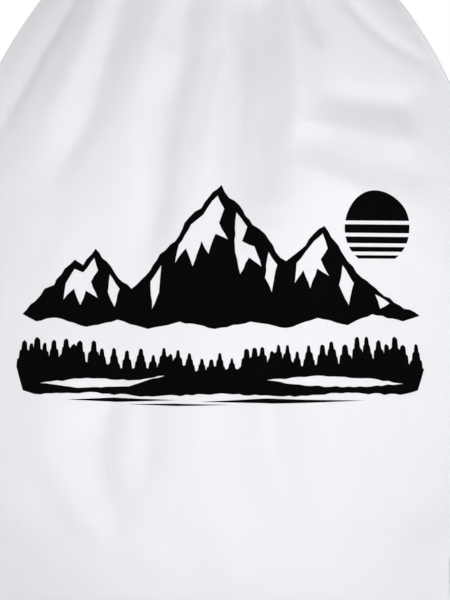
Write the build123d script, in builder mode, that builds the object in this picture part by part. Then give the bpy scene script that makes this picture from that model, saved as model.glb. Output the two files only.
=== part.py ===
"""Cotton drawstring bag, standing filled out with its mouth drawn in. Millimetres.

+X runs across the bag, -Y is the printed front and +Z is up. The origin is the middle of the base.
Two cloth panels meet in the XZ plane. Each has a cord tunnel along its top edge, and a metal eyelet
goes through both panels and their reinforcing patches at each end of the bottom seam.
"""

from build123d import *
import math
import os

os.makedirs("parts", exist_ok=True)

# ---- cloth ----
cloth = 1.4             # thickness of a panel
fold_count = 7          # folds that the gathers make across one panel

# ---- neck and cord tunnels ----
tunnel_floor = 396.0    # height of the stitch line below the tunnels
tunnel_height = 30.0    # from the stitch line to the folded top edge
tunnel_gap = 7.0        # clear depth inside a tunnel, where the cord runs
neck_half_width = 71.0  # from the middle to a side seam
neck_side = 16.0        # width of the plain cloth between the folds and a side seam
neck_step = 20.0        # from the seam plane to the foot of the folds
neck_bulge = 2.0
neck_fold = 4.8         # how far the folds of a panel stand out at the neck
mouth_fold = 4.0        # how far the folds of a tunnel's inner wall stand into the mouth

# ---- corner eyelets and their patches ----
eyelet_bore = 4.0       # radius of the hole that a cord goes through
eyelet_wall = 0.6
eyelet_flange = 8.0     # outer radius
flange_thick = 0.9
eyelet_fit = 0.1        # radial clearance between the barrel and the cloth
patch_size = 28.0       # side of the square patch
patch_thick = 1.0
patch_corner = 4.0      # how much its corners are cut off
patch_edge = 1.5        # from a patch to the side seam
patch_lift = 10.0       # from the base up to a patch
corner_room = 3.5       # from a patch to where the cloth leaves the seam plane

# ---- panel sections, one row for each level, from the base to the neck ----
corner_half_width = 163.0
corner_margin = patch_edge + patch_size + corner_room
base_tuck = 3.0         # how much narrower than the corners the bag is where it stands
corner_swell = 1.5      # and how much wider it is just above the patches
low_level = patch_lift + 1
above_patch = patch_lift + patch_size + 10
# height, half width, flat seam margin, step off the seam plane, bulge beyond the step, fold
PANEL_LEVELS = [
    (0.0, corner_half_width - base_tuck, corner_margin, 0.0, 26.0, 0.3),
    (low_level, corner_half_width, corner_margin, 0.0, 42.0, 0.3),
    (above_patch, corner_half_width + corner_swell, corner_margin, 0.0, 52.0, 0.3),
    (130.0, 164.0, 9.0, 0.0, 55.0, 0.3),
    (215.0, 161.0, 6.0, 0.0, 52.0, 0.6),
    (270.0, 150.0, 6.0, 1.0, 46.0, 2.0),
    (318.0, 130.5, 7.0, 4.0, 37.0, 4.0),
    (356.0, 107.0, 10.0, 11.0, 20.0, 5.0),
    (tunnel_floor, neck_half_width, neck_side, neck_step, neck_bulge, neck_fold),
]
eyelet_across = corner_half_width - patch_edge - patch_size / 2
eyelet_height = patch_lift + patch_size / 2

SIDES = [("front", -1), ("back", 1)]    # which way a piece lies from the seam plane, along Y
ENDS = [("left", -1), ("right", 1)]     # and along X


def bulged_line(half_chord, bulge):
    """Ends and middles of equal stretches of an arc that bulges off the X axis, one for each fold.

    Each is (x, distance off the axis, and the two parts of the arc's outward normal).
    """
    radius = (half_chord**2 + bulge**2) / (2 * bulge)
    half_angle = 2 * math.atan(bulge / half_chord)
    points = []
    for i in range(2 * fold_count + 1):
        angle = half_angle * (i / fold_count - 1)
        across, off = math.sin(angle), math.cos(angle)
        points.append((radius * across, radius * off - radius + bulge, across, off))
    return points


def folded_line(points, lift, fold, side):
    """Draws one pleat for each fold, lifted off the seam plane, and returns the line's two ends."""
    def at(i, out):
        x, off, across, outward = points[i]
        return (x + across * out, side * (lift + off + outward * out))

    Polyline(*[at(i, fold * (i % 2)) for i in range(len(points))])
    return at(0, 0), at(len(points) - 1, 0)


def smooth_levels(rows):
    """The rows and one level half way between each two, on curves that don't overshoot the rows."""
    def slope(i, column):
        if i in (0, len(rows) - 1):
            return 0.0
        below, here, above = rows[i - 1], rows[i], rows[i + 1]
        first = (here[column] - below[column]) / (here[0] - below[0])
        second = (above[column] - here[column]) / (above[0] - here[0])
        return 0.0 if first * second <= 0 else 2 * first * second / (first + second)

    levels = [rows[0]]
    for i in range(len(rows) - 1):
        low, high = rows[i], rows[i + 1]
        gap = high[0] - low[0]
        middle = [(low[0] + high[0]) / 2]
        for column in range(1, len(low)):
            bend = gap * (slope(i, column) - slope(i + 1, column)) / 8
            middle.append((low[column] + high[column]) / 2 + bend)
        levels += [tuple(middle), high]
    return levels


def panel_section(level, side):
    """A panel's cut at one level: a strip of cloth from one side seam to the other."""
    height, half_width, margin, step, bulge, fold = level
    slope = math.atan2(step, margin)
    points = bulged_line(half_width - margin, bulge)
    with BuildSketch(Plane.XY.offset(height)) as section:
        with BuildLine():
            outside = folded_line(points, step + cloth, fold, side)
            inside = folded_line(points, step, fold, side)
            for (_, end), outer, inner in zip(ENDS, outside, inside):
                Polyline(
                    outer,
                    (end * half_width, side * cloth * math.cos(slope)),
                    (end * (half_width - cloth * math.sin(slope)), 0),
                    inner,
                )
        make_face()
    return section.sketch


def base_section(side):
    """The half of the base that lies on a panel's side of the bottom seam."""
    _, half_width, margin, step, bulge, fold = PANEL_LEVELS[0]
    points = bulged_line(half_width - margin, bulge)
    with BuildSketch() as section:
        with BuildLine():
            left, right = folded_line(points, step + cloth, fold, side)
            seam_left, seam_right = (-half_width, side * cloth), (half_width, side * cloth)
            Polyline(left, seam_left, (-half_width, 0), (half_width, 0), seam_right, right)
        make_face()
    return section.sketch


def build_panel(side):
    """A cloth panel: its half of the base, its belly, its shoulders and its folded neck."""
    with BuildPart() as panel:
        loft(sections=[panel_section(level, side) for level in smooth_levels(PANEL_LEVELS)], ruled=True)
        extrude(base_section(side), amount=cloth)
        with BuildSketch(Plane.XZ):
            with Locations((-eyelet_across, eyelet_height), (eyelet_across, eyelet_height)):
                Circle(eyelet_bore + eyelet_wall + eyelet_fit)
        extrude(amount=2 * cloth, both=True, mode=Mode.SUBTRACT)
    return panel


def tunnel_section(height, outer_lift, inner_lift, overrun, side):
    """A strip along the neck between a line folded outwards and one folded into the mouth."""
    points = bulged_line(neck_half_width - neck_side, neck_bulge)
    with BuildSketch(Plane.XY.offset(height)) as section:
        with BuildLine():
            outer = folded_line(points, outer_lift, neck_fold, side)
            inner = folded_line(points, inner_lift, -mouth_fold, side)
            for (_, end), a, b in zip(ENDS, outer, inner):
                Polyline(a, (a[0] + end * overrun, a[1]), (b[0] + end * overrun, b[1]), b)
        make_face()
    return section.sketch


def build_tunnel(side):
    """A cord tunnel: an outer and an inner wall of cloth, joined along both edges, open at the ends."""
    outer_wall = neck_step
    inner_wall = outer_wall - tunnel_gap
    walls = tunnel_section(
        tunnel_floor, outer_wall + cloth, inner_wall - cloth, cloth, side
    )
    hollow = tunnel_section(
        tunnel_floor + cloth, outer_wall, inner_wall, 2 * cloth, side
    )
    with BuildPart() as tunnel:
        extrude(walls, amount=tunnel_height)
        extrude(hollow, amount=tunnel_height - 2 * cloth, mode=Mode.SUBTRACT)
    return tunnel


def build_patch(end, side):
    """A square reinforcing patch on a panel's lower corner, with the hole for its eyelet."""
    with BuildPart() as patch:
        with BuildSketch(Plane.XZ.offset(-side * cloth)) as outline:
            with Locations((end * eyelet_across, eyelet_height)):
                Rectangle(patch_size, patch_size)
                chamfer(outline.vertices(), patch_corner)
                Circle(eyelet_bore + eyelet_wall + eyelet_fit, mode=Mode.SUBTRACT)
        extrude(amount=-side * patch_thick)
    return patch


def build_eyelet(end):
    """A metal eyelet: a barrel through the cloth and a flange on each patch."""
    seat = cloth + patch_thick
    outside = eyelet_bore + eyelet_wall
    middle = (end * eyelet_across, 0, eyelet_height)
    with BuildPart() as eyelet:
        with BuildSketch(Plane(middle)):
            with BuildLine():
                for _, side in SIDES:
                    Polyline(
                        (outside, 0),
                        (outside, side * seat),
                        (eyelet_flange, side * seat),
                        (eyelet_flange, side * (seat + flange_thick)),
                        (eyelet_bore, side * (seat + flange_thick)),
                        (eyelet_bore, 0),
                    )
            make_face()
        revolve(axis=Axis(middle, (0, 1, 0)))
    return eyelet


def save(node, part):
    part.label = node
    export_step(part, f"parts/{node}.step")


for name, side in SIDES:
    save(f"{name}_panel", build_panel(side).part)
    save(f"{name}_cord_tunnel", build_tunnel(side).part)
    for end_name, end in ENDS:
        save(f"{name}_{end_name}_patch", build_patch(end, side).part)
for end_name, end in ENDS:
    save(f"{end_name}_eyelet", build_eyelet(end).part)
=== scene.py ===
import math

import bmesh
import bpy
import numpy as np
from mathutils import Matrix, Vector
from mathutils.bvhtree import BVHTree


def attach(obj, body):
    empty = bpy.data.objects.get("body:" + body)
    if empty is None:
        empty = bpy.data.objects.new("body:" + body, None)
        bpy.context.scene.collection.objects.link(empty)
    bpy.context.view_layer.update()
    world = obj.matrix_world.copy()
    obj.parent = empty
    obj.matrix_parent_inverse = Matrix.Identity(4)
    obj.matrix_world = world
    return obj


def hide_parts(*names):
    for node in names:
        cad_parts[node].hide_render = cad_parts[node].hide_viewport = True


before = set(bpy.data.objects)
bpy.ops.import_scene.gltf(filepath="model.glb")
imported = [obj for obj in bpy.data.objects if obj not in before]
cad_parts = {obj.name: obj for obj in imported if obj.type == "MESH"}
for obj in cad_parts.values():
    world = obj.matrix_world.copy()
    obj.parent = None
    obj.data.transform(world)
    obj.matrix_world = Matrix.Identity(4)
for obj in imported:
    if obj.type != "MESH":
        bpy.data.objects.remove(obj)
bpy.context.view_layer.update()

cameraSettings = {
    "distance": 1.60,       # from the bag's front to the lens
    "frontFace": -0.050,    # the bag's front, along Y
    "lookAt": (0.0028, 0.1845),     # the view's middle, across and up
    "viewHeight": 0.339,    # how much of the front is in view, from bottom to top
}


def makeCamera(c):
    data = bpy.data.cameras.new("camera")
    data.sensor_fit = "VERTICAL"
    data.sensor_height = 24.0
    data.lens = data.sensor_height * c["distance"] / c["viewHeight"]
    camera = bpy.data.objects.new("camera", data)
    camera.location = (c["lookAt"][0], c["frontFace"] - c["distance"], c["lookAt"][1])
    camera.rotation_euler = (math.radians(90), 0, 0)
    bpy.context.collection.objects.link(camera)
    bpy.context.scene.camera = camera


makeCamera(cameraSettings)


def newGroup(name, inputs, outputs):
    tree = bpy.data.node_groups.new(name, "ShaderNodeTree")
    for socketName, kind, default in inputs:
        socket = tree.interface.new_socket(socketName, in_out="INPUT", socket_type=kind)
        if default is not None:
            socket.default_value = default
    for socketName, kind in outputs:
        tree.interface.new_socket(socketName, in_out="OUTPUT", socket_type=kind)
    return tree, tree.nodes.new("NodeGroupInput"), tree.nodes.new("NodeGroupOutput")


def addMath(tree, operation, first, second=None):
    node = tree.nodes.new("ShaderNodeMath")
    node.operation = operation
    for socket, value in zip(node.inputs, (first, second)):
        if isinstance(value, (int, float)):
            socket.default_value = value
        elif value is not None:
            tree.links.new(value, socket)
    return node.outputs[0]


def addNoise(tree, vector, scale, detail=2.0, roughness=0.5):
    node = tree.nodes.new("ShaderNodeTexNoise")
    node.inputs["Scale"].default_value = scale
    node.inputs["Detail"].default_value = detail
    node.inputs["Roughness"].default_value = roughness
    tree.links.new(vector, node.inputs["Vector"])
    return node.outputs["Fac"]


def addScaled(tree, vector, scale):
    node = tree.nodes.new("ShaderNodeVectorMath")
    node.operation = "MULTIPLY"
    node.inputs[1].default_value = scale
    tree.links.new(vector, node.inputs[0])
    return node.outputs[0]


weaveSettings = {
    "thin": 1500,           # slubs are thin across a thread
    "long": 45,             # and long along it
    "overUnder": 0.35,      # how much of the height is threads that cross over and under
}


def weaveGroup(s):
    tree, start, end = newGroup(
        "plainWeave",
        [
            ("Cloth Place", "NodeSocketVector", None),
            ("Thread Pitch", "NodeSocketFloat", 0.00042),
            ("Slub", "NodeSocketFloat", 0.5),
        ],
        [("Height", "NodeSocketFloat"), ("Slub Mask", "NodeSocketFloat")],
    )
    place = start.outputs["Cloth Place"]
    split = tree.nodes.new("ShaderNodeSeparateXYZ")
    tree.links.new(place, split.inputs[0])
    waves = []
    for axis in ("X", "Y"):
        turns = addMath(tree, "DIVIDE", split.outputs[axis], start.outputs["Thread Pitch"])
        waves.append(addMath(tree, "SINE", addMath(tree, "MULTIPLY", turns, math.pi)))
    overUnder = addMath(tree, "MULTIPLY", waves[0], waves[1])
    warp = addNoise(tree, addScaled(tree, place, (s["thin"], s["long"], 1)), 1.0)
    weft = addNoise(tree, addScaled(tree, place, (s["long"], s["thin"], 1)), 1.0)
    slub = addMath(tree, "ADD", warp, weft)
    slub = addMath(tree, "SUBTRACT", slub, 1.0)
    height = addMath(tree, "ADD", addMath(tree, "MULTIPLY", overUnder, s["overUnder"]),
                     addMath(tree, "MULTIPLY", slub, start.outputs["Slub"]))
    tree.links.new(height, end.inputs["Height"])
    tree.links.new(addMath(tree, "ADD", slub, 0.5), end.inputs["Slub Mask"])
    return tree


def mottleGroup():
    tree, start, end = newGroup(
        "softMottle",
        [("Place", "NodeSocketVector", None), ("Size", "NodeSocketFloat", 25.0)],
        [("Mask", "NodeSocketFloat")],
    )
    node = tree.nodes.new("ShaderNodeTexNoise")
    node.inputs["Detail"].default_value = 3.0
    tree.links.new(start.outputs["Place"], node.inputs["Vector"])
    tree.links.new(start.outputs["Size"], node.inputs["Scale"])
    tree.links.new(node.outputs["Fac"], end.inputs["Mask"])
    return tree


weave = weaveGroup(weaveSettings)
mottle = mottleGroup()


def addGroup(tree, group, **values):
    node = tree.nodes.new("ShaderNodeGroup")
    node.node_tree = group
    for name, value in values.items():
        node.inputs[name.replace("_", " ")].default_value = value
    return node


def newMaterial(name):
    material = bpy.data.materials.new(name)
    material.use_nodes = True
    tree = material.node_tree
    return material, tree, tree.nodes["Principled BSDF"]


def mixedColour(tree, mask, low, high):
    mix = tree.nodes.new("ShaderNodeMix")
    mix.data_type = "RGBA"
    mix.inputs["A"].default_value = (*low, 1)
    mix.inputs["B"].default_value = (*high, 1)
    tree.links.new(mask, mix.inputs["Factor"])
    return mix.outputs["Result"]


def clothPlace(tree):
    node = tree.nodes.new("ShaderNodeUVMap")
    node.uv_map = "clothPlace"
    return node.outputs["UV"]


def objectPlace(tree):
    return tree.nodes.new("ShaderNodeTexCoord").outputs["Object"]


def addBump(tree, shader, height, strength, depth):
    bump = tree.nodes.new("ShaderNodeBump")
    bump.inputs["Strength"].default_value = strength
    bump.inputs["Distance"].default_value = depth
    tree.links.new(height, bump.inputs["Height"])
    tree.links.new(bump.outputs["Normal"], shader.inputs["Normal"])


def clothMaterial(name, s):
    material, tree, shader = newMaterial(name)
    threads = addGroup(tree, weave, Thread_Pitch=s["pitch"], Slub=s["slub"])
    tree.links.new(clothPlace(tree), threads.inputs["Cloth Place"])
    patches = addGroup(tree, mottle, Size=s["mottleScale"])
    tree.links.new(objectPlace(tree), patches.inputs["Place"])
    slub = threads.outputs["Slub Mask"]
    tone = addMath(tree, "ADD", addMath(tree, "MULTIPLY", patches.outputs["Mask"], s["mottleShare"]),
                   addMath(tree, "MULTIPLY", slub, 1 - s["mottleShare"]))
    tree.links.new(mixedColour(tree, tone, s["low"], s["high"]), shader.inputs["Base Color"])
    addBump(tree, shader, threads.outputs["Height"], s["bump"], s["pitch"] * s["relief"])
    roughness = addMath(tree, "ADD", addMath(tree, "MULTIPLY", slub, s["slubRoughness"]), s["roughness"])
    tree.links.new(roughness, shader.inputs["Roughness"])
    shader.inputs["Sheen Weight"].default_value = s["sheen"]
    shader.inputs["Sheen Roughness"].default_value = s["sheenRoughness"]
    shader.inputs["Specular IOR Level"].default_value = s["specular"]
    return material


cottonSettings = {
    "low": (0.775, 0.785, 0.812),
    "high": (0.835, 0.843, 0.862),
    "pitch": 0.00042,       # metres from thread to thread
    "slub": 0.5,
    "bump": 0.35,
    "relief": 0.4,          # how deep the weave is, as a share of the pitch
    "mottleScale": 14.0,
    "mottleShare": 0.6,     # of the tone; the slubs make the rest
    "roughness": 0.82,
    "slubRoughness": 0.1,
    "sheen": 0.12,
    "sheenRoughness": 0.5,
    "specular": 0.25,
}
patchSettings = dict(cottonSettings, low=(0.760, 0.768, 0.790), high=(0.825, 0.830, 0.845),
                     pitch=0.0006, bump=0.5)
inkSettings = dict(cottonSettings, low=(0.0010, 0.0010, 0.0011), high=(0.0024, 0.0024, 0.0026),
                   bump=0.25, roughness=0.88, sheen=0.0, specular=0.03)
cotton = clothMaterial("whiteCotton", cottonSettings)
patchCotton = clothMaterial("patchCotton", patchSettings)
ink = clothMaterial("blackInk", inkSettings)


threadSettings = {
    "low": (0.72, 0.72, 0.74),
    "high": (0.86, 0.86, 0.87),
    "strandScale": 900.0,
    "twists": 12.0,
    "bump": 0.4,
    "bumpDepth": 0.0001,
    "roughness": 0.6,
}
nickelSettings = {
    "low": (0.62, 0.61, 0.59),
    "high": (0.78, 0.77, 0.75),
    "grainScale": 1400.0,
    "grainDetail": 3.0,
    "wornScale": 260.0,
    "bump": 0.12,
    "bumpDepth": 0.0001,
    "roughness": 0.2,
    "grainRoughness": 0.16,     # how much the grain adds
}


def threadMaterial(s):
    material, tree, shader = newMaterial("sewingThread")
    strands = addNoise(tree, objectPlace(tree), s["strandScale"])
    twist = addMath(tree, "SINE", addMath(tree, "MULTIPLY", strands, s["twists"]))
    tree.links.new(mixedColour(tree, twist, s["low"], s["high"]), shader.inputs["Base Color"])
    addBump(tree, shader, twist, s["bump"], s["bumpDepth"])
    shader.inputs["Roughness"].default_value = s["roughness"]
    return material


def metalMaterial(s):
    material, tree, shader = newMaterial("nickelEyelet")
    place = objectPlace(tree)
    grain = addNoise(tree, place, s["grainScale"], s["grainDetail"])
    worn = addGroup(tree, mottle, Size=s["wornScale"])
    tree.links.new(place, worn.inputs["Place"])
    tree.links.new(mixedColour(tree, worn.outputs["Mask"], s["low"], s["high"]), shader.inputs["Base Color"])
    roughness = addMath(tree, "ADD", addMath(tree, "MULTIPLY", grain, s["grainRoughness"]), s["roughness"])
    tree.links.new(roughness, shader.inputs["Roughness"])
    addBump(tree, shader, grain, s["bump"], s["bumpDepth"])
    shader.inputs["Metallic"].default_value = 1.0
    return material


thread = threadMaterial(threadSettings)
nickel = metalMaterial(nickelSettings)
print("materials made")

clothSettings = {
    "width": 0.350,         # the flat cut of a panel
    "length": 0.426,        # from the bottom seam to the stitch line below the tunnel
    "thickness": 0.0007,
    "seamGap": 0.0004,      # from the seam plane out to a panel's face
    "columns": 96,          # of the grid that is simulated
    "rows": 120,
    "samples": 641,         # points along a row before it is divided into even columns
    "softness": 0.09,       # how roundly the belly runs out into the flat seam margins
    "pinch": 40,            # how late a panel closes on its side seam
    "climb": 0.5,           # how far the low side cloth rises to its even share of the height
    "climbTop": 0.09,       # and up to where, along the cloth
    "climbEdge": (0.55, 0.4),       # from this share of the half width, over that much of it
    "fade": 1.5,
    "crest": 1.7,           # 2 gives round folds, less gives sharper crests
    "foldEdge": 14,         # how near to the side seams the folds still reach
    "foldFoot": (0.002, 0.03, 0.12),    # where they begin above the base, over what height, the least share
    "crumple": 0.0009,
    "crumpleSize": (0.020, 0.026),
    "crumpleWaves": 14,
    "pleats": 15,           # fine pleats across the neck
    "pleatDepth": 0.0030,
    "pleatFade": 0.030,     # how far below the neck the fine pleats die out
    "pleatEdge": 6,
    "unevenness": 1.3,      # how far the pleats stray from even distances
    "finerPleats": 1.83,    # times as many, on top of them
    "finerShare": 0.35,
    "puckerDepth": 0.00012,     # the small waves along the side seams
    "puckerLength": 0.011,
    "puckerIn": (0.86, 0.12),       # they start at this share of the half width, over that much of it
    "puckerOut": (0.985, 0.015),    # and end
    "puckerDrift": (2, 60),     # how far and how fast their distances change
}
# height, half width, half width of the belly, depth, squareness: from the bottom seam up to the neck
panelLevels = [
    (0.0004, 0.1585, 0.128, 0.0006, 2.0),
    (0.0004, 0.1595, 0.128, 0.0270, 2.2),
    (0.0045, 0.1610, 0.129, 0.0395, 2.3),
    (0.0150, 0.1630, 0.130, 0.0470, 2.4),
    (0.0420, 0.1645, 0.134, 0.0510, 2.4),
    (0.0700, 0.1648, 0.148, 0.0530, 2.4),
    (0.1300, 0.1640, 0.156, 0.0545, 2.3),
    (0.2150, 0.1610, 0.156, 0.0526, 2.1),
    (0.2700, 0.1500, 0.146, 0.0480, 2.1),
    (0.3180, 0.1305, 0.128, 0.0412, 2.4),
    (0.3560, 0.1070, 0.106, 0.0320, 3.2),
    (0.3965, 0.0705, 0.0705, 0.0235, 5.0),
]
# each fold runs from the neck down: across, up, half width and how far it stands out, in millimetres
frontFolds = [
    [(-62, 397, 4, -1.5), (-88, 354, 7, -4.5), (-103, 330, 7, -5.0), (-115, 307, 7, -5.0),
     (-127, 284, 9, -3.5), (-137, 256, 12, -1.5)],
    [(-50, 397, 5, 1.0), (-66, 354, 11, 2.5), (-80, 322, 13, 3.5), (-93, 296, 15, 4.0), (-106, 265, 20, 2.0)],
    [(-42, 397, 5, -1.0), (-59, 354, 9, -5.0), (-66, 325, 9, -5.0), (-73, 295, 9, -4.0), (-86, 268, 10, -3.0),
     (-98, 246, 12, -1.0)],
    [(-28, 397, 5, 1.0), (-34, 354, 10, 2.0), (-42, 320, 12, 2.5), (-53, 285, 15, 2.5), (-65, 245, 18, 1.0)],
    [(-14, 397, 5, -1.0), (-19, 354, 11, -7.5), (-22, 325, 10, -8.0), (-29, 300, 9, -10.0),
     (-33, 270, 8, -10.0), (-36, 240, 9, -9.0), (-42, 210, 12, -3.0)],
    [(3, 397, 4, 1.0), (4, 354, 5, 4.5), (5, 328, 5, 4.5), (0, 300, 7, 4.0), (-6, 268, 9, 3.5),
     (-8, 244, 11, 1.5)],
    [(15, 397, 5, -1.0), (12, 354, 9, -11.0), (13, 330, 9, -13.0), (12, 300, 10, -12.5), (11, 275, 11, -11.0),
     (12, 252, 13, -7.0), (13, 226, 15, -2.0)],
    [(24, 354, 10, -8.0), (24, 325, 11, -9.5), (24, 290, 12, -9.5), (25, 264, 13, -7.0), (26, 238, 14, -2.0)],
    [(31, 397, 5, 1.0), (38, 354, 10, 5.0), (42, 325, 12, 6.5), (44, 303, 13, 7.0), (43, 287, 11, 5.5),
     (38, 274, 8, 2.0)],
    [(44, 397, 4, -1.0), (51, 352, 6, -4.0), (55, 338, 5, -2.5), (57, 328, 4, -0.5)],
    [(58, 397, 4, -1.5), (73, 357, 5, -2.0), (84, 345, 5, -2.0), (95, 336, 5, -2.0), (107, 329, 5, -2.0),
     (120, 323, 5, -1.5), (132, 320, 5, -0.5)],
    [(60, 302, 8, -1.5), (82, 299, 9, -2.5), (104, 298, 8, -2.5), (112, 304, 5, -1.0)],
    [(58, 286, 9, 2.0), (74, 281, 11, 2.5), (90, 277, 13, 3.0), (104, 276, 13, 3.5), (114, 284, 9, 1.5)],
    [(64, 250, 38, 8.0), (104, 246, 34, 8.0)],
    [(42, 262, 9, 2.0), (58, 254, 11, 3.0), (78, 244, 12, 3.0), (104, 236, 11, 2.0)],
    [(-62, 134, 17, -9.0), (-72, 106, 17, -11.0), (-69, 84, 14, -8.5), (-61, 66, 11, -5.0),
     (-56, 50, 9, -1.5)],
    [(-42, 122, 10, -3.5), (-42, 96, 10, -3.5), (-45, 80, 9, -1.5)],
    [(-14, 122, 14, 3.0), (-11, 90, 17, 3.5), (-4, 60, 18, 3.0), (5, 28, 16, 1.5)],
    [(27, 132, 16, -10.0), (30, 100, 16, -11.0), (37, 78, 15, -8.0), (51, 56, 11, -2.5)],
    [(-126, 112, 12, -1.0), (-106, 80, 13, -1.5), (-86, 54, 13, -1.5), (-60, 34, 12, -1.0),
     (-28, 22, 11, -0.5)],
    [(-100, 100, 10, 1.5), (-82, 72, 11, 2.0), (-64, 52, 11, 1.5), (-34, 38, 11, 1.0)],
]
backFolds = [
    [(58, 397, 4, -1.5), (76, 354, 7, -3.3), (104, 306, 9, -2.6), (122, 270, 12, -0.8)],
    [(48, 397, 5, 1.0), (62, 354, 11, 2.2), (84, 310, 13, 1.8), (98, 268, 16, 0.5)],
    [(36, 397, 5, -1.0), (44, 354, 9, -2.4), (60, 290, 13, -1.8), (74, 220, 18, -0.6)],
    [(24, 397, 5, 1.0), (29, 354, 10, 2.4), (38, 300, 14, 1.8), (48, 230, 20, 0.6)],
    [(12, 397, 5, -1.2), (12, 354, 9, -3.4), (14, 300, 12, -2.6), (10, 226, 15, -0.8)],
    [(-2, 397, 4, 1.2), (-4, 354, 8, 2.6), (-8, 316, 10, 2.0), (-20, 246, 16, 0.8)],
    [(-16, 397, 5, -1.2), (-21, 354, 9, -3.0), (-28, 310, 12, -2.8), (-44, 236, 18, -0.8)],
    [(-30, 397, 5, 1.0), (-38, 354, 9, 2.6), (-50, 306, 11, 2.2), (-66, 262, 14, 0.8)],
    [(-42, 397, 4, -1.2), (-53, 354, 7, -2.6), (-66, 322, 9, -1.4)],
    [(-56, 397, 4, -1.2), (-74, 354, 7, -3.0), (-98, 318, 8, -2.6), (-124, 288, 10, -1.0)],
    [(-66, 397, 4, 0.8), (-88, 354, 8, 1.8), (-112, 322, 9, 1.2)],
    [(-86, 250, 12, 1.6), (-60, 240, 14, 1.4)],
    [(84, 160, 14, -1.6), (66, 110, 15, -2.0), (60, 60, 14, -0.9)],
    [(10, 150, 18, 1.4), (4, 90, 22, 2.2), (-4, 44, 22, 1.2)],
    [(-28, 130, 14, -1.6), (-40, 90, 15, -2.4), (-62, 50, 14, -1.0)],
    [(124, 106, 10, -1.2), (90, 66, 10, -2.0), (44, 34, 10, -1.6)],
]


def curveThrough(places, values, at):
    # a smooth curve that doesn't overshoot the values
    steps = np.diff(places)
    slopes = np.diff(values) / steps
    lean = np.zeros(len(places))
    inner = slopes[:-1] * slopes[1:] > 0
    lean[1:-1][inner] = 2 * slopes[:-1][inner] * slopes[1:][inner] / (slopes[:-1] + slopes[1:])[inner]
    lean[0], lean[-1] = slopes[0], slopes[-1]
    i = np.clip(np.searchsorted(places, at, side="right") - 1, 0, len(steps) - 1)
    t = (at - places[i]) / steps[i]
    return (values[i] * (1 + 2 * t) * (1 - t) ** 2 + values[i + 1] * t * t * (3 - 2 * t)
            + steps[i] * (lean[i] * t * (1 - t) ** 2 - lean[i + 1] * t * t * (1 - t)))


def foldHeight(across, up, folds, s):
    total = np.zeros_like(across)
    for fold in folds:
        points = np.array(fold) * 0.001
        nearest = np.full(across.shape, 1e9)
        width, height = np.ones_like(across), np.zeros_like(across)
        for a, b in zip(points, points[1:]):
            run = b[:2] - a[:2]
            t = np.clip(((across - a[0]) * run[0] + (up - a[1]) * run[1]) / (run @ run), 0, 1)
            away = np.hypot(across - a[0] - t * run[0], up - a[1] - t * run[1])
            closer = away < nearest
            nearest = np.where(closer, away, nearest)
            width = np.where(closer, a[2] + t * (b[2] - a[2]), width)
            height = np.where(closer, a[3] + t * (b[3] - a[3]), height)
        total += height * np.exp(-((nearest / width) ** s["crest"]))
    return total


def softNoise(first, second, waves, seed):
    random = np.random.default_rng(seed)
    total = np.zeros_like(first)
    for _ in range(waves):
        direction, phase = random.uniform(0, 2 * math.pi, 2)
        stretch = random.uniform(0.5, 1.5)
        total += np.sin(stretch * (first * math.cos(direction) + second * math.sin(direction)) + phase)
    return total / waves


def pleatTurn(across, s):
    return s["pleats"] * math.pi * across + s["unevenness"] * np.sin(2.9 * across + 0.6)


def pleatWave(across, s):
    finer = np.sin(s["pleats"] * s["finerPleats"] * math.pi * across + 1.0)
    return np.sin(pleatTurn(across, s)) + s["finerShare"] * finer


def bellyDepth(share, depth, square, s):
    # share is 0 in the middle and 1 where the belly meets the flat margin
    raised = 1 - np.abs(share) ** square
    return depth * (raised + np.sqrt(raised**2 + s["softness"] ** 2)) / 2


def ramp(value, start, width):
    return np.clip((value - start) / width, 0, 1)


def eased(value):
    t = np.clip(value, 0, 1)
    return t * t * (3 - 2 * t)


def gridNormals(grid):
    down = np.gradient(grid, axis=0)
    along = np.gradient(grid, axis=1)
    normals = np.cross(along, down)
    return normals / np.maximum(np.linalg.norm(normals, axis=2, keepdims=True), 1e-12)


def bellySurface(side, across, s):
    levels = np.array(panelLevels)
    path = np.concatenate([[0], np.cumsum(np.hypot(np.diff(levels[:, 0]), np.diff(levels[:, 3])))])
    at = np.linspace(0, path[-1], s["rows"])
    height, half, belly, depth, square = (curveThrough(path, levels[:, i], at)[:, None] for i in range(5))
    x = half * across
    y = bellyDepth(x / belly, depth, square, s) * (1 - np.abs(across) ** s["pinch"])
    surface = np.stack([x, side * (y + s["seamGap"]), np.broadcast_to(height, x.shape)], axis=2)
    # towards the sides the bottom seam is shorter, so the cloth there starts to climb at once
    even = (at / path[-1])[:, None] * levels[-1, 0]
    low = np.clip(1 - at / s["climbTop"], 0, 1)[:, None] ** s["fade"]
    edge = ramp(np.abs(across), *s["climbEdge"])
    missing = np.maximum(even - surface[:, :, 2], 0)
    surface[:, :, 2] += low * edge * edge * (3 - 2 * edge) * missing * s["climb"]
    return surface


def seamPuckers(side, across, up, s):
    place = ramp(np.abs(across), *s["puckerIn"]) * (1 - ramp(np.abs(across), *s["puckerOut"]))
    drift, pace = s["puckerDrift"]
    wave = np.sin(2 * math.pi * up / s["puckerLength"] + drift * np.sin(up * pace) + side)
    return s["puckerDepth"] * place * wave


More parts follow.
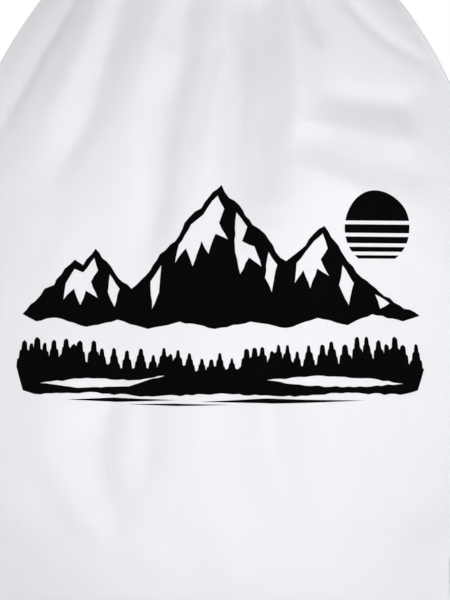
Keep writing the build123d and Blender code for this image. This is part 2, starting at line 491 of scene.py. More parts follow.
def clothRise(side, across, surface, folds, s):
    # how far the cloth stands off the plain belly
    x, up = surface[:, :, 0], surface[:, :, 2]
    start, width, least = s["foldFoot"]
    first, second = s["crumpleSize"]
    near = np.clip(1 - (panelLevels[-1][0] - up) / s["pleatFade"], 0, 1) ** s["fade"]
    rise = foldHeight(x, up, folds, s)
    rise = rise + near * s["pleatDepth"] * pleatWave(across, s) * (1 - np.abs(across) ** s["pleatEdge"])
    rise = rise + s["crumple"] * softNoise(x / first, up / second, s["crumpleWaves"], 5 + side) * (1 - near)
    rise = rise * (1 - np.abs(across) ** s["foldEdge"])
    rise = rise * np.clip((up - start) / width, least, 1)
    return rise + seamPuckers(side, across, up, s)


def evenColumns(surface, columns):
    # the same rows, divided into columns of even length
    rows = len(surface)
    steps = np.linalg.norm(np.diff(surface, axis=1), axis=2)
    length = np.concatenate([np.zeros((rows, 1)), np.cumsum(steps, axis=1)], axis=1)
    grid = np.empty((rows, columns, 3))
    for row in range(rows):
        wanted = np.linspace(0, length[row, -1], columns)
        for axis in range(3):
            grid[row, :, axis] = np.interp(wanted, length[row], surface[row, :, axis])
    return grid


def panelGrid(side, folds, s):
    across = np.sin(np.linspace(-1, 1, s["samples"]) * math.pi / 2)[None, :]
    surface = bellySurface(side, across, s)
    out = gridNormals(surface) * -side
    rise = clothRise(side, across, surface, folds, s)
    return evenColumns(surface + out * rise[:, :, None], s["columns"])


def doubled(grid):
    # each new point lies on the cubic through the two points on either side of it
    for axis in (0, 1):
        g = np.moveaxis(grid, axis, 0)
        padded = np.concatenate([2 * g[:1] - g[1:2], g, 2 * g[-1:] - g[-2:-1]])
        middle = (9 * (padded[1:-2] + padded[2:-1]) - padded[:-3] - padded[3:]) / 16
        out = np.empty((2 * len(g) - 1, *g.shape[1:]))
        out[0::2] = g
        out[1::2] = middle
        grid = np.moveaxis(out, 0, axis)
    return grid


def addPiece(name, meshData, material, nodes=()):
    piece = bpy.data.objects.new(name, meshData)
    bpy.context.collection.objects.link(piece)
    meshData.materials.append(material)
    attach(piece, "root")
    if nodes:
        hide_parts(*nodes)
    return piece


def finishMesh(bm, name, smooth=True):
    meshData = bpy.data.meshes.new(name)
    bm.to_mesh(meshData)
    bm.free()
    if smooth:
        for polygon in meshData.polygons:
            polygon.use_smooth = True
    return meshData


# where the outer and the inner face lie on the baked sheet, as shares of it
sheetSettings = {
    "margin": 0.005,
    "width": 0.485,
    "nextSheet": 0.505,
    "height": 0.99,
    "rim": 0.0015,
}


def shellMesh(name, grid, side, thickness, flat, keep=None):
    sheet = sheetSettings
    normals = gridNormals(grid) * -side
    inner = grid - normals * thickness
    rows, columns = grid.shape[:2]
    if keep is None:
        keep = np.ones((rows - 1, columns - 1), bool)
    bm = bmesh.new()
    place = bm.loops.layers.uv.new("clothPlace")
    baked = bm.loops.layers.uv.new("OFBake")
    verts = {}

    def vertAt(layer, r, c):
        if (layer, r, c) not in verts:
            verts[layer, r, c] = bm.verts.new((grid, inner)[layer][r, c])
        return verts[layer, r, c]

    def addFace(corners, inside, away=(0, 0)):
        # a rim face lies just outside its edge on the baked sheet, towards "away"
        if side > 0:
            corners = corners[::-1]
        face = bm.faces.new([vertAt(*corner) for corner in corners])
        for loop, (layer, r, c) in zip(face.loops, corners):
            u, v = c / (columns - 1), r / (rows - 1)
            push = sheet["rim"] * layer * (1 - inside)
            loop[place].uv = (u * flat[0], v * flat[1])
            bakedU = sheet["margin"] + sheet["width"] * u + sheet["nextSheet"] * inside + push * away[1]
            loop[baked].uv = (bakedU, sheet["margin"] + sheet["height"] * v + push * away[0])

    for r in range(rows - 1):
        for c in range(columns - 1):
            if not keep[r, c]:
                continue
            corners = [(r, c), (r, c + 1), (r + 1, c + 1), (r + 1, c)]
            addFace([(0, *corner) for corner in corners], 0)
            addFace([(1, *corner) for corner in corners[::-1]], 1)
            for k, (dr, dc) in enumerate(((-1, 0), (0, 1), (1, 0), (0, -1))):
                onGrid = 0 <= r + dr < rows - 1 and 0 <= c + dc < columns - 1
                if onGrid and keep[r + dr, c + dc]:
                    continue
                a, b = corners[k], corners[(k + 1) % 4]
                addFace([(0, *b), (0, *a), (1, *a), (1, *b)], 0, (dr, dc))
    return finishMesh(bm, name)


sides = {"front": -1, "back": 1}
eyeletSettings = {
    "places": {"left": (-0.1475, 0.024), "right": (0.1475, 0.024)},
    "clothHole": 0.0060,    # the ragged hole in the cloth, hidden by the flange
    "steps": 72,
    # radius and distance off the seam plane, in millimetres: domed front flange, barrel and back curl
    "barrel": [(7.9, -2.15), (8.0, -2.45), (7.3, -2.95), (6.2, -3.25), (5.2, -3.28), (4.4, -2.95),
               (4.0, -2.2), (4.0, 0.0), (4.0, 2.2), (4.3, 2.95), (4.9, 3.28), (5.5, 3.1), (5.7, 2.7),
               (5.3, 2.5), (4.7, 2.4), (4.6, 1.9), (4.6, 0.0), (4.6, -1.8), (5.0, -2.1), (6.4, -2.15)],
    "washer": [(4.7, 2.05), (4.75, 2.45), (5.6, 2.62), (6.8, 2.62), (7.7, 2.35), (8.0, 1.98), (7.7, 1.85),
               (5.4, 1.9)],
    "curveSteps": 3,        # points from one of these to the next
}
panelGrids = {}
panelTrees = {}


def eyeletHole(grid, radius):
    middle = (grid[:-1, :-1] + grid[1:, 1:]) / 2
    keep = np.ones(middle.shape[:2], bool)
    for across, up in eyeletSettings["places"].values():
        keep &= np.hypot(middle[:, :, 0] - across, middle[:, :, 2] - up) > radius
    return keep


def treeOf(grid):
    rows, columns = grid.shape[:2]
    faces = [(r * columns + c, r * columns + c + 1, (r + 1) * columns + c + 1, (r + 1) * columns + c)
             for r in range(rows - 1) for c in range(columns - 1)]
    return BVHTree.FromPolygons([tuple(p) for p in grid.reshape(-1, 3)], faces)


settleSettings = {
    "frames": 14,
    "growth": 0.007,        # how much longer the threads want to be than the modelled cloth
    "pressure": 0.12,
    "quality": 6,
    "mass": 0.15,           # of each point, in kilograms
    "stretch": 14,
    "shear": 5,
    "bending": 0.4,
    "gravity": 0.0,         # off: with it on, points this heavy sag by centimetres
    "cap": 0.0050,          # how far a point may move, which hardly any point reaches
    "heldRows": 3,          # rows held at the stitch line and at the base
    "smoothing": 3,         # rounds that take out ripples finer than the grid can show
    "calmHeight": 0.045,    # below this the movement eases out towards the base
    "calmCorner": (0.024, 0.070),   # and from here to there around each eyelet
}


def joinPanels(grids):
    # both panels as one closed cloth, joined at the side and bottom seams
    front, back = grids["front"], grids["back"]
    rows, columns = front.shape[:2]
    number = {}
    points = []
    for name, grid in grids.items():
        for r in range(rows):
            for c in range(columns):
                seam = r == 0 or c in (0, columns - 1)
                if name == "back" and seam:
                    number[name, r, c] = number["front", r, c]
                    continue
                number[name, r, c] = len(points)
                points.append((front[r, c] + back[r, c]) / 2 if seam else grid[r, c])
    faces = []
    for name, side in sides.items():
        for r in range(rows - 1):
            for c in range(columns - 1):
                places = [(r, c), (r, c + 1), (r + 1, c + 1), (r + 1, c)]
                corners = [number[name, *place] for place in places]
                faces.append(corners if side < 0 else corners[::-1])
    return np.array(points), faces, number


def addClothModifier(cloth, s):
    modifier = cloth.modifiers.new("settle", "CLOTH")
    settings = modifier.settings
    settings.quality = s["quality"]
    settings.mass = s["mass"]
    settings.tension_stiffness = settings.compression_stiffness = s["stretch"]
    settings.shear_stiffness = s["shear"]
    settings.bending_stiffness = s["bending"]
    settings.shrink_min = -s["growth"]
    settings.vertex_group_mass = "held"
    settings.use_pressure = True
    settings.uniform_pressure_force = s["pressure"]
    settings.effector_weights.gravity = s["gravity"]
    modifier.collision_settings.use_collision = False
    modifier.collision_settings.use_self_collision = False
    modifier.point_cache.frame_start, modifier.point_cache.frame_end = 1, s["frames"]


def settledMove(points, faces, fixed, s):
    meshData = bpy.data.meshes.new("settling")
    meshData.from_pydata([tuple(p) for p in points], [], faces)
    cloth = bpy.data.objects.new("settling", meshData)
    bpy.context.collection.objects.link(cloth)
    cloth.vertex_groups.new(name="held").add(fixed, 1.0, "REPLACE")
    addClothModifier(cloth, s)
    scene = bpy.context.scene
    for frameNumber in range(1, s["frames"] + 1):
        scene.frame_set(frameNumber)
    settled = cloth.evaluated_get(bpy.context.evaluated_depsgraph_get()).data
    moved = np.array([v.co[:] for v in settled.vertices]) - points
    scene.frame_set(1)
    bpy.data.objects.remove(cloth)
    return moved


def calmed(moved, points, s):
    # capped, and eased out towards the base and around each eyelet
    length = np.linalg.norm(moved, axis=1, keepdims=True)
    moved = moved * (s["cap"] * np.tanh(length / s["cap"]) / np.maximum(length, 1e-9))
    calm = eased(points[:, 2] / s["calmHeight"])
    near, far = s["calmCorner"]
    for across, up in eyeletSettings["places"].values():
        calm *= eased((np.hypot(points[:, 0] - across, points[:, 2] - up) - near) / (far - near))
    print("cloth settled, mean move", round(float(length.mean()) * 1000, 2), "mm, past the cap",
          round(float((length > s["cap"]).mean()) * 100, 1), "%")
    return moved * calm[:, None]


def settleCloth(grids, s):
    rows, columns = grids["front"].shape[:2]
    points, faces, number = joinPanels(grids)
    fixed = sorted({index for (_, r, _), index in number.items()
                    if r < s["heldRows"] or r >= rows - s["heldRows"]})
    moved = calmed(settledMove(points, faces, fixed, s), points, s)
    out = {}
    for name, grid in grids.items():
        shift = np.zeros_like(grid)
        for r in range(1, rows):
            for c in range(1, columns - 1):
                shift[r, c] = moved[number[name, r, c]]
        for _ in range(s["smoothing"]):
            # half of a point's own shift and an eighth of each neighbour's
            shift[1:-1, 1:-1] = (shift[1:-1, 1:-1] * 4 + shift[:-2, 1:-1] + shift[2:, 1:-1]
                                 + shift[1:-1, :-2] + shift[1:-1, 2:]) / 8
        out[name] = grid + shift
    return out


coarseGrids = {name: panelGrid(side, frontFolds if side < 0 else backFolds, clothSettings)
               for name, side in sides.items()}
coarseGrids = settleCloth(coarseGrids, settleSettings)
for sideName, side in sides.items():
    fine = doubled(coarseGrids[sideName])
    panelGrids[sideName] = fine
    panelTrees[sideName] = treeOf(fine)
    flat = (clothSettings["width"], clothSettings["length"])
    meshData = shellMesh(f"{sideName}_cloth", fine, side, clothSettings["thickness"], flat,
                         eyeletHole(fine, eyeletSettings["clothHole"]))
    piece = addPiece(f"{sideName}_cloth", meshData, cotton, [f"{sideName}_panel"])
    print(piece.name, "made")

tunnelSettings = {
    "halfWidth": 0.0564,
    "flat": (0.310, 0.066),
    "columns": 337,
    "rows": 45,
    "foot": 0.3965,         # height of the stitch line
    "pleatDepth": 0.0040,
    "pleatRise": 0.008,     # by this height the pleats have that depth
    "seamRise": 0.007,      # up to about here the tunnel follows the panel's own edge
    "wander": (0.012, 160, 7),      # how far the pleats wander, and how fast with height and across
    "wanderRise": 0.02,
    "meander": 0.0006,      # how far the pleats lean over to each side
    "scallop": 0.0007,
    "scallopRise": (0.018, 0.01),
    # the cut across the tunnel, in millimetres: how far in from the outer wall, how high above the stitches
    "section": [(0, 0), (-0.5, 4), (-1.0, 10), (-0.9, 17), (0.2, 23), (2.4, 27.2), (5.4, 28.7),
                (8.4, 27.0), (10.6, 22.5), (11.3, 16.5), (10.2, 10), (6.8, 4.2), (2.6, 0.9), (1.0, 0.2)],
}


def tunnelGrid(sideName, side, s):
    cloth = clothSettings
    points = np.array(s["section"]) * 0.001
    path = np.concatenate([[0], np.cumsum(np.hypot(*np.diff(points, axis=0).T))])
    at = np.linspace(0, path[-1], s["rows"])
    inward, height = (curveThrough(path, points[:, i], at)[:, None] for i in range(2))
    x = np.linspace(-s["halfWidth"], s["halfWidth"], s["columns"])[None, :]
    neck = panelLevels[-1]
    across = x / neck[1]
    base = bellyDepth(across, neck[3], neck[4], cloth)
    size, withHeight, withAcross = s["wander"]
    swing = size * np.sin(height * withHeight + across * withAcross)
    wander = across + swing * ramp(height, 0, s["wanderRise"])
    growth = ramp(height, 0, s["pleatRise"])
    depth = cloth["pleatDepth"] + (s["pleatDepth"] - cloth["pleatDepth"]) * growth
    atEnds = 1 - np.abs(across) ** cloth["pleatEdge"]
    out = base + depth * (pleatWave(wander, cloth) * atEnds) - inward
    # the foot is moved onto the panel's own edge
    edge = panelGrids[sideName][-1]
    order = np.argsort(edge[:, 0])
    seam = np.interp(x[0], edge[order, 0], side * edge[order, 1])[None, :]
    foot = base + cloth["pleatDepth"] * pleatWave(across, cloth) * atEnds
    out = out + (seam - foot) * np.exp(-((height / s["seamRise"]) ** 2))
    turn = pleatTurn(wander, cloth)
    lean = s["meander"] * np.sin(2 * turn) * growth
    scallop = s["scallop"] * (1 - np.cos(2 * turn)) / 2 * ramp(height, *s["scallopRise"])
    up = s["foot"] + height - scallop
    return np.stack(np.broadcast_arrays(x + lean, side * out, up), axis=2)


tunnelGrids = {}
for sideName, side in sides.items():
    tunnelGrids[sideName] = tunnelGrid(sideName, side, tunnelSettings)
    meshData = shellMesh(f"{sideName}_tunnel", tunnelGrids[sideName], side,
                         clothSettings["thickness"], tunnelSettings["flat"])
    piece = addPiece(f"{sideName}_tunnel", meshData, cotton, [f"{sideName}_cord_tunnel"])
    print(piece.name, "made")

reinforcement = {
    "size": 0.028,
    "corner": 0.0042,
    "hole": 0.0047,
    "steps": 128,
    # share of the way from the hole to the edge, and height above the cloth in millimetres
    "profile": [(0.0, 0.45), (0.10, 0.62), (0.30, 0.82), (0.52, 0.92), (0.68, 0.86), (0.755, 0.62),
                (0.80, 0.56), (0.845, 0.66), (0.92, 0.95), (0.97, 0.90), (0.995, 0.62), (1.0, 0.30),
                (0.99, 0.02), (0.5, 0.02), (0.0, 0.05)],
    "pucker": 0.00007,      # the small waves that the stitches make
    "puckers": 26,
    "puckerShare": 0.7,     # they start at this share
    "stitchShare": 0.80,
    "stitchLift": 0.00058,
    "stitchPoints": 160,
}


def patchOutline(angle, s):
    # a square with rounded corners, as a distance from its middle
    half, corner = s["size"] / 2, s["corner"]
    c, d = abs(math.cos(angle)), abs(math.sin(angle))
    straight = half / max(c, d)
    if min(c, d) * straight <= half - corner:
        return straight
    middle = half - corner
    along = middle * (c + d)
    return along + math.sqrt(max(along * along - 2 * middle * middle + corner * corner, 0))


def surfaceAt(sideName, side, across, up):
    hit = panelTrees[sideName].ray_cast(Vector((across, side * 0.2, up)), Vector((0, -side, 0)))
    return hit[0].y if hit[0] else 0.0


def patchPoint(sideName, side, middle, angle, share, lift, s):
    reach = s["hole"] + (patchOutline(angle, s) - s["hole"]) * share
    across, up = middle[0] + reach * math.cos(angle), middle[1] + reach * math.sin(angle)
    return Vector((across, surfaceAt(sideName, side, across, up) + side * lift, up))


def patchMesh(name, sideName, side, middle, s):
    bm = bmesh.new()
    place = bm.loops.layers.uv.new("clothPlace")
    rings = []
    for k in range(s["steps"]):
        angle = 2 * math.pi * k / s["steps"]
        # each patch starts its waves elsewhere
        pucker = s["pucker"] * math.sin(angle * s["puckers"] + middle[0] * 900)
        ring = []
        for share, lift in s["profile"]:
            lift = lift * 0.001 + pucker * (share > s["puckerShare"])
            ring.append(bm.verts.new(patchPoint(sideName, side, middle, angle, share, lift, s)))
        rings.append(ring)
    count = len(s["profile"])
    for k, ring in enumerate(rings):
        after = rings[(k + 1) % s["steps"]]
        for m in range(count):
            n = (m + 1) % count
            corners = [ring[m], ring[n], after[n], after[m]]
            face = bm.faces.new(corners if side > 0 else corners[::-1])
            for loop in face.loops:
                loop[place].uv = (loop.vert.co.x, loop.vert.co.z)
    bmesh.ops.recalc_face_normals(bm, faces=bm.faces)
    return finishMesh(bm, name)


for sideName, side in sides.items():
    for endName, middle in eyeletSettings["places"].items():
        name = f"{sideName}_{endName}_reinforcement"
        addPiece(name, patchMesh(name, sideName, side, middle, reinforcement), patchCotton,
                 [f"{sideName}_{endName}_patch"])
print("patches made")


def smoothLoop(points, steps):
    # a closed curve through the points
    n = len(points)
    out = []
    for i in range(n):
        a, b, c, d = (np.array(points[(i + k) % n]) for k in (-1, 0, 1, 2))
        for k in range(steps):
            t = k / steps
            bend, turn = 2 * a - 5 * b + 4 * c - d, 3 * b - a - 3 * c + d
            out.append(0.5 * (2 * b + (c - a) * t + bend * t * t + turn * t**3))
    return out


def addLathe(bm, middle, profile, s):
    points = [p * 0.001 for p in smoothLoop(profile, s["curveSteps"])]
    steps = s["steps"]
    rings = []
    for k in range(steps):
        angle = 2 * math.pi * k / steps
        c, d = math.cos(angle), math.sin(angle)
        rings.append([bm.verts.new((middle[0] + p[0] * c, p[1], middle[1] + p[0] * d)) for p in points])
    for k, ring in enumerate(rings):
        after = rings[(k + 1) % steps]
        for m in range(len(points)):
            n = (m + 1) % len(points)
            bm.faces.new([ring[m], ring[n], after[n], after[m]])


for endName, middle in eyeletSettings["places"].items():
    bm = bmesh.new()
    for part in ("barrel", "washer"):
        addLathe(bm, middle, eyeletSettings[part], eyeletSettings)
    bmesh.ops.recalc_face_normals(bm, faces=bm.faces)
    name = f"{endName}_rolled_eyelet"
    addPiece(name, finishMesh(bm, name), nickel, [f"{endName}_eyelet"])
print("eyelets made")

stitchSettings = {
    "length": 0.0026,
    "gap": 0.0006,
    "radius": 0.00026,
    "sides": 6,
    # place along a stitch, from -1 to 1, and thickness there
    "shape": [(-1, 0.05), (-0.86, 0.62), (-0.45, 0.97), (0.45, 0.97), (0.86, 0.62), (1, 0.05)],
    "sunk": 0.35,               # how far its ends sink in, as a share of the radius
    "proud": 0.45,              # and how far its middle stands off the cloth
    "shortest": 0.5,            # a stitch that a sharp turn makes shorter than this share is left out
    "lineAboveFoot": 0.0022,    # the line of stitches below each tunnel
    "hemInset": 0.0026,         # from a tunnel's open end
}


def addStitch(bm, middle, along, out, s):
    across = along.cross(out).normalized()
    count = s["sides"]
    rings = []
    for place, size in s["shape"]:
        sunk = out * (-s["sunk"] * s["radius"] * abs(place))
        centre = middle + along * (place * s["length"] / 2) + sunk
        ring = []
        for k in range(count):
            angle = 2 * math.pi * k / count
            away = across * math.cos(angle) + out * math.sin(angle)
            ring.append(bm.verts.new(centre + away * (s["radius"] * size)))
        rings.append(ring)
    for first, second in zip(rings, rings[1:]):
        for k in range(count):
            after = (k + 1) % count
            bm.faces.new([first[k], first[after], second[after], second[k]])
    bm.faces.new(rings[0][::-1])
    bm.faces.new(rings[-1])


def addStitchLine(bm, points, outs, s):
    points = np.array(points)
    path = np.concatenate([[0], np.cumsum(np.linalg.norm(np.diff(points, axis=0), axis=1))])
    pitch = s["length"] + s["gap"]
    for k in range(int(path[-1] // pitch)):
        ends = [np.array([np.interp(pitch * k + part, path, points[:, i]) for i in range(3)])
                for part in (s["gap"] / 2, s["gap"] / 2 + s["length"])]
        out = np.array([np.interp(pitch * (k + 0.5), path, np.array(outs)[:, i]) for i in range(3)])
        along = Vector(ends[1] - ends[0])
        if along.length < s["length"] * s["shortest"]:
            continue
        middle = Vector((ends[0] + ends[1]) / 2) + Vector(out).normalized() * s["radius"] * s["proud"]
        addStitch(bm, middle, along.normalized(), Vector(out).normalized(), s)


def addTunnelStitches(bm, grid, outs, s):
    # one line through both walls above the foot, and one along each open end
    above = grid[:, grid.shape[1] // 2, 2] - tunnelSettings["foot"]
    low = int(np.argmax(above > s["lineAboveFoot"]))
    high = len(grid) - 1 - int(np.argmax(above[::-1] > s["lineAboveFoot"]))
    for row in (low, high):
        addStitchLine(bm, grid[row], outs[row], s)
    run = np.concatenate([[0], np.cumsum(np.linalg.norm(np.diff(grid[low], axis=0), axis=1))])
    for inset in (s["hemInset"], run[-1] - s["hemInset"]):
        column = int(np.searchsorted(run, inset))
        addStitchLine(bm, grid[low:high, column], outs[low:high, column], s)


def addPatchStitches(bm, sideName, side, middle, p, s):
    angles = [2 * math.pi * k / p["stitchPoints"] for k in range(p["stitchPoints"] + 1)]
    line = [patchPoint(sideName, side, middle, angle, p["stitchShare"], p["stitchLift"], p)
            for angle in angles]
    addStitchLine(bm, line, [(0, side, 0)] * len(line), s)


for sideName, side in sides.items():
    bm = bmesh.new()
    grid = tunnelGrids[sideName]
    addTunnelStitches(bm, grid, gridNormals(grid) * -side, stitchSettings)
    for middle in eyeletSettings["places"].values():
        addPatchStitches(bm, sideName, side, middle, reinforcement, stitchSettings)
    bmesh.ops.recalc_face_normals(bm, faces=bm.faces)
    addPiece(f"{sideName}_stitching", finishMesh(bm, f"{sideName}_stitching"), thread)
print("stitching made")

printSettings = {
    "corner": (52.0, 160.0),    # lower left corner on the flat cloth, in millimetres
    "lift": 0.00012,            # how proud of the cloth the ink stands
    "sink": 0.00008,
    "roughStep": 3.2,           # a cut edge wobbles about this often
    "sun": (214.0, 97.0, 20.0),     # across, up and radius
    "sunBands": [(101, 117), (94.5, 99), (89, 92.5), (84.4, 87), (80.6, 82.4)],
    "sunPoints": 24,
}
treeSettings = {
    "seed": 7,
    "ends": (3.0, 243.5),
    "step": 0.5,
    "ground": 19.5,
    "first": 8.0,               # where the first and the last tree may stand
    "last": 238,
    "foot": 7,
    "height": (25, 31),
    "swell": 8,                 # the line of treetops swells by this much
    "spread": (0.20, 0.26),     # half width as a share of the height
    "tiers": (5, 8),
    "taper": 0.25,
    "apart": (3.5, 8.5),
}
mountainRidge = [(6, 50), (14, 57), (20, 64), (26, 66), (32, 75), (38, 80), (43, 77), (50, 86), (57, 79),
                 (64, 70), (72, 64), (80, 71), (88, 83), (97, 90), (105, 103), (112, 108), (118, 117),
                 (123, 121), (128, 114), (134, 110), (141, 99), (148, 94), (154, 84), (160, 79), (168, 85),
                 (176, 94), (182, 98), (188, 90), (196, 79), (205, 70), (216, 62), (228, 55), (241, 49)]
mountainFoot = [(230, 46), (211, 50), (196, 44), (178, 48), (160, 42.5), (140, 46), (120, 42), (100, 46),
                (82, 42), (64, 47), (46, 43), (28, 48), (15, 46)]
groundLine = [(243, 8), (228, 5.4), (196, 7), (160, 5), (120, 6.6), (84, 5), (44, 7), (18, 5.6), (3, 8)]
snowFaces = [
    [(121, 115), (125, 108), (122, 100), (127, 91), (120, 94), (116, 83), (112, 90), (107, 76), (103, 86),
     (97, 78), (99, 88), (106, 99), (113, 104.5), (118, 112)],
    [(132, 106), (138, 98), (135, 90), (142, 87), (146, 76), (139, 81), (134, 72), (131, 84), (131, 97)],
    [(49.5, 81), (52, 74), (48, 68), (52, 59), (45, 63), (42, 55), (38, 64), (32, 58), (33, 67), (38, 75),
     (43, 73)],
    [(181, 94), (184, 86), (180, 80), (185, 71), (178, 75), (174, 64), (170, 74), (165, 67), (166, 78),
     (171, 84), (176, 90)],
    [(83, 68), (89, 77), (88, 62), (84, 53)],
    [(150, 84), (155, 77), (152, 62), (148, 70)],
    [(59, 72), (65, 64), (62, 54), (58, 62)],
    [(193, 77), (200, 67), (197, 55), (191, 66)],
    [(213, 61), (222, 56), (216, 53)],
]
valleyMist = [[(18, 12), (46, 15), (74, 14), (92, 16.5), (70, 10.5), (40, 9.5)],
              [(150, 14), (178, 16.5), (214, 14), (230, 11.5), (200, 10), (172, 11)]]
waterStrokes = [[(34, 3), (60, 4.2), (98, 3.2), (62, 1.8)], [(112, 2.4), (150, 3.8), (206, 2.6), (154, 1.0)],
                [(70, 0.6), (96, 1.3), (128, 0.6), (98, 0)]]


def roughLine(points, size, seed, closed=True):
    # each stretch gets a few points off its line, as a hand-cut stencil has
    random = np.random.default_rng(seed)
    out = []
    ends = points[1:] + points[:1] if closed else points[1:]
    for (ax, ay), (bx, by) in zip(points, ends):
        length = math.hypot(bx - ax, by - ay)
        steps = max(1, int(length / printSettings["roughStep"]))
        out.append((ax, ay))
        for k in range(1, steps):
            t, off = k / steps, random.uniform(-size, size)
            out.append((ax + (bx - ax) * t - (by - ay) / length * off,
                        ay + (by - ay) * t + (bx - ax) / length * off))
    return out if closed else out + [points[-1]]


def treeLine(s):
    random = np.random.default_rng(s["seed"])
    x = np.arange(*s["ends"], s["step"])
    top = s["ground"] + np.sin(x * 0.045) + np.sin(x * 0.11)
    place, foot = s["first"], s["foot"]
    while place < s["last"]:
        swell = 0.5 + 0.5 * math.cos((place - 30) * 0.036)
        height = random.uniform(*s["height"]) + s["swell"] * swell
        reach = height * random.uniform(*s["spread"])
        tiers = random.integers(*s["tiers"])
        off = np.abs(x - place) / reach
        tier = off * tiers
        # each tier of branches tapers a little and then steps in
        stepped = (np.floor(tier) + s["taper"] * (tier - np.floor(tier))) / tiers
        top = np.maximum(top, np.where(off < 1, foot + (height - foot) * (1 - stepped), 0))
        place += random.uniform(*s["apart"])
    return list(zip(x.tolist(), top.tolist()))


def sunBand(low, high, s):
    across, up, radius = s["sun"]
    first, last = (math.asin(max(-1, min(1, (y - up) / radius))) for y in (low, high))
    angles = np.linspace(first, last, s["sunPoints"])
    right = [(across + radius * math.cos(a), up + radius * math.sin(a)) for a in angles]
    left = [(2 * across - x, y) for x, y in right[::-1]]
    # at the very top both sides meet in one point
    return right + [p for p in left if math.dist(p, right[-1]) > 0.05]


def printShapes(s):
    # each shape is its outline, then the holes in it
    ground = roughLine(groundLine, 0.5, 11, closed=False)
    ridge = roughLine(mountainRidge, 0.7, 1, closed=False)
    mountain = ridge + roughLine(mountainFoot, 0.5, 2, closed=False)
    snow = [roughLine(face, 0.35, 20 + k) for k, face in enumerate(snowFaces)]
    mist = [roughLine(m, 0.4, 40 + k) for k, m in enumerate(valleyMist)]
    shapes = [[mountain] + snow, [treeLine(treeSettings) + ground[1:-1]] + mist]
    return shapes + [[sunBand(*band, s)] for band in s["sunBands"]] + [[stroke] for stroke in waterStrokes]


def flatPrint(shapes, corner):
    # the shapes filled in, lying flat on the cut cloth
    bm = bmesh.new()
    for shape in shapes:
        edges = []
        for line in shape:
            verts = [bm.verts.new((x + corner[0], y + corner[1], 0)) for x, y in line]
            edges += [bm.edges.new((a, b)) for a, b in zip(verts, verts[1:] + verts[:1])]
        bmesh.ops.triangle_fill(bm, edges=edges, use_beauty=True, normal=(0, 0, 1))
    return bm


def cutAlongGrid(bm, steps):
    # cut along the cloth's rows and columns, so that the print bends where the cloth does
    for axis, step in enumerate(steps):
        places = [v.co[axis] for v in bm.verts]
        direction = [0, 0, 0]
        direction[axis] = 1
        for k in range(int(min(places) / step), int(max(places) / step) + 2):
            middle = [0, 0, 0]
            middle[axis] = k * step
            bmesh.ops.bisect_plane(bm, geom=bm.verts[:] + bm.edges[:] + bm.faces[:], plane_co=middle,
                                   plane_no=direction, dist=1e-5)


def gridBlend(g, i, j, u, v):
    near = (1 - u) * g[i, j] + u * g[i, j + 1]
    far = (1 - u) * g[i + 1, j] + u * g[i + 1, j + 1]
    return (1 - v) * near + v * far


def printMesh(name, grid, side, s):
    bm = flatPrint(printShapes(s), s["corner"])
    rows, columns = grid.shape[:2]
    stepAcross = clothSettings["width"] * 1000 / (columns - 1)
    stepUp = clothSettings["length"] * 1000 / (rows - 1)
    cutAlongGrid(bm, (stepAcross, stepUp))
    normals = gridNormals(grid) * -side
    inked = bmesh.new()
    place = inked.loops.layers.uv.new("clothPlace")
    layers = {}
    for vert in bm.verts:
        c, r = vert.co.x / stepAcross, vert.co.y / stepUp
        i, j = min(int(r), rows - 2), min(int(c), columns - 2)
        point, out = (gridBlend(g, i, j, c - j, r - i) for g in (grid, normals))
        layers[vert] = [inked.verts.new(point + out * lift) for lift in (s["lift"], -s["sink"])]

    def addFace(corners):
        face = inked.faces.new([layers[v][k] for v, k in corners])
        for loop, (v, _) in zip(face.loops, corners):
            loop[place].uv = (v.co.x * 0.001, v.co.y * 0.001)

    for face in bm.faces:
        corners = list(face.verts) if face.normal.z > 0 else list(face.verts)[::-1]
        addFace([(v, 0) for v in corners])
        addFace([(v, 1) for v in corners[::-1]])
        for a, b in zip(corners, corners[1:] + corners[:1]):
            edge = bm.edges.get((a, b))
            if len(edge.link_faces) == 1:
                addFace([(b, 0), (a, 0), (a, 1), (b, 1)])
    bm.free()
    return finishMesh(inked, name)


addPiece("front_print", printMesh("front_print", panelGrids["front"], -1, printSettings), ink)
print("print made")

lightSettings = {
    "horizon": 0.80,        # how bright the sky is straight ahead
    "zenith": 0.27,         # and overhead
    "backdrop": 1.0,        # what the camera sees behind the bag
    "aim": (0, 0, 0.2),
    # across, along, up, size, watts
    "key": (0.75, -1.55, 0.08, 0.9, 3.0),
    "wing": (0.80, -0.52, 0.20, 0.5, 1.10),
    "fill": (-0.85, -0.62, 0.22, 0.5, 0.75),
    "rear": (-1.30, 1.00, 0.90, 0.7, 9.0),
    "panel": {"at": (0.12, -0.50, 0.070), "size": (1.6, 0.16), "tilt": 60, "watts": 1.84},
}


def addLight(name, aim, across, along, up, size, watts):
    data = bpy.data.lights.new(name, "AREA")
    data.shape = "DISK"
    data.size = size
    data.energy = watts
    light = bpy.data.objects.new(name, data)
    light.location = (across, along, up)
    direction = Vector(aim) - light.location
    light.rotation_euler = direction.to_track_quat("-Z", "Y").to_euler()
    bpy.context.collection.objects.link(light)


def addPanel(p):
    # a soft panel that lies in front of the bag and shines up at it
    data = bpy.data.lights.new("panel", "AREA")
    data.shape = "RECTANGLE"
    data.size, data.size_y = p["size"]
    data.energy = p["watts"]
    light = bpy.data.objects.new("panel", data)
    light.location = p["at"]
    light.rotation_euler = (math.radians(180 - p["tilt"]), 0, 0)
    light.visible_camera = False
    bpy.context.collection.objects.link(light)


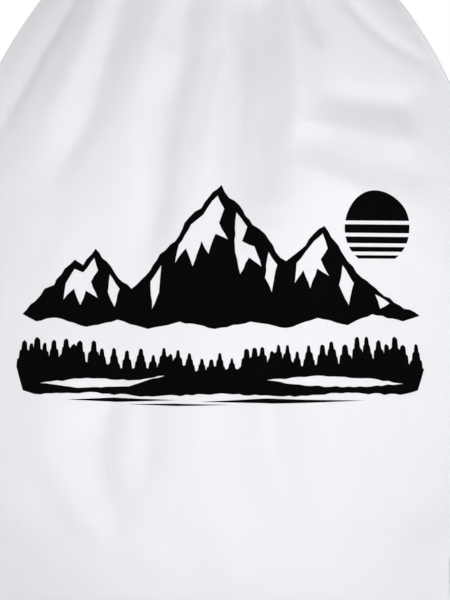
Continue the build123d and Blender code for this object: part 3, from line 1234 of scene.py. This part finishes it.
for lightName in ("key", "wing", "fill", "rear"):
    addLight(lightName, lightSettings["aim"], *lightSettings[lightName])
addPanel(lightSettings["panel"])


def makeWorld(s):
    world = bpy.data.worlds.new("studio")
    world.use_nodes = True
    tree = world.node_tree
    tree.nodes.clear()
    output = tree.nodes.new("ShaderNodeOutputWorld")
    background = tree.nodes.new("ShaderNodeBackground")
    background.inputs["Color"].default_value = (1, 1, 1, 1)
    split = tree.nodes.new("ShaderNodeSeparateXYZ")
    tree.links.new(tree.nodes.new("ShaderNodeTexCoord").outputs["Generated"], split.inputs[0])
    height = addMath(tree, "ABSOLUTE", split.outputs["Z"])
    sky = addMath(tree, "ADD", addMath(tree, "MULTIPLY", height, s["zenith"] - s["horizon"]), s["horizon"])
    seen = tree.nodes.new("ShaderNodeLightPath").outputs["Is Camera Ray"]
    brightness = tree.nodes.new("ShaderNodeMix")
    tree.links.new(seen, brightness.inputs["Factor"])
    tree.links.new(sky, brightness.inputs["A"])
    brightness.inputs["B"].default_value = s["backdrop"]
    tree.links.new(brightness.outputs["Result"], background.inputs["Strength"])
    tree.links.new(background.outputs[0], output.inputs[0])
    bpy.context.scene.world = world
    bpy.context.scene.view_settings.view_transform = "Standard"


makeWorld(lightSettings)


floorSettings = {
    "reach": 1.5,
    "low": (0.88, 0.88, 0.88),
    "high": (0.92, 0.92, 0.92),
    "mottleScale": 30.0,
    "roughness": 0.8,
}


def makeFloor(s):
    bm = bmesh.new()
    bmesh.ops.create_grid(bm, x_segments=8, y_segments=8, size=s["reach"])
    floor = bpy.data.objects.new("floor", finishMesh(bm, "floor", smooth=False))
    bpy.context.collection.objects.link(floor)
    material, tree, shader = newMaterial("paleFloor")
    grain = addGroup(tree, mottle, Size=s["mottleScale"])
    tree.links.new(objectPlace(tree), grain.inputs["Place"])
    tree.links.new(mixedColour(tree, grain.outputs["Mask"], s["low"], s["high"]), shader.inputs["Base Color"])
    shader.inputs["Roughness"].default_value = s["roughness"]
    floor.data.materials.append(material)


makeFloor(floorSettings)
print("lights and floor set")
